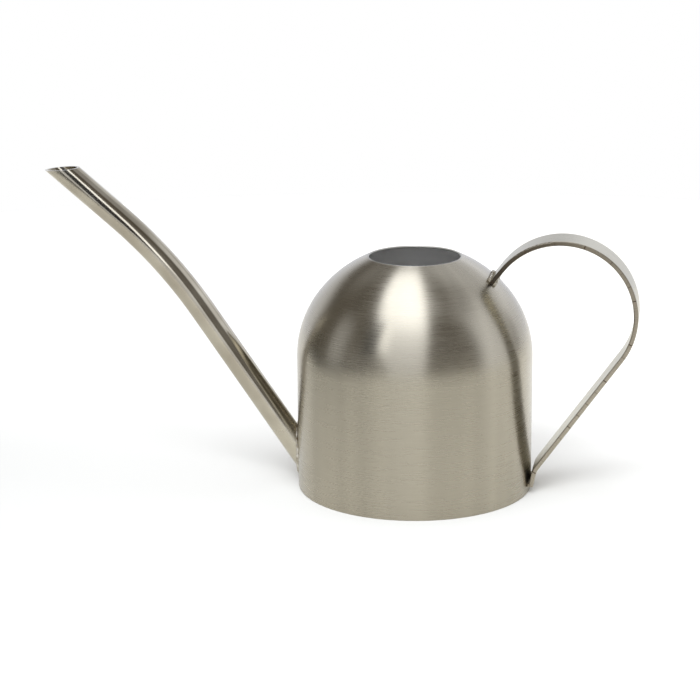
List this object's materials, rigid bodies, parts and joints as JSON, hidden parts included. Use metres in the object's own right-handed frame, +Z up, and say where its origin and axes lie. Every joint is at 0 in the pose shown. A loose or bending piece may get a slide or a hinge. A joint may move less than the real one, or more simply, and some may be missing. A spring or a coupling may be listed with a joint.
{
  "type": "watering can",
  "caption": "Indoor watering can with a domed steel body, an open round filler, a long slim spout and a flat strap handle.",
  "frame": {"origin": "centre of the underside, where the can stands on its base", "axes": "+Z up along the body's axis, spout toward -X, handle toward +X, XZ the plane of symmetry"},
  "size_m": [0.3299, 0.13, 0.1747],
  "materials": {
    "body_steel": "brushed around the body, satin",
    "base_steel": "mill finish, satin",
    "spout_steel": "polished along the tube",
    "strap_steel": "fine brushed along the strap, edges left from the shear",
    "weld_steel": "bare weld metal, brushed clean"
  },
  "bodies": {
    "root": {"dome_body": "body_steel", "base_plate": "base_steel", "base_seam_weld": "weld_steel", "spout_tube": "spout_steel", "spout_weld": "weld_steel", "handle_strap": "strap_steel", "handle_upper_weld": "weld_steel", "handle_lower_weld": "weld_steel"}
  },
  "joints": []
}
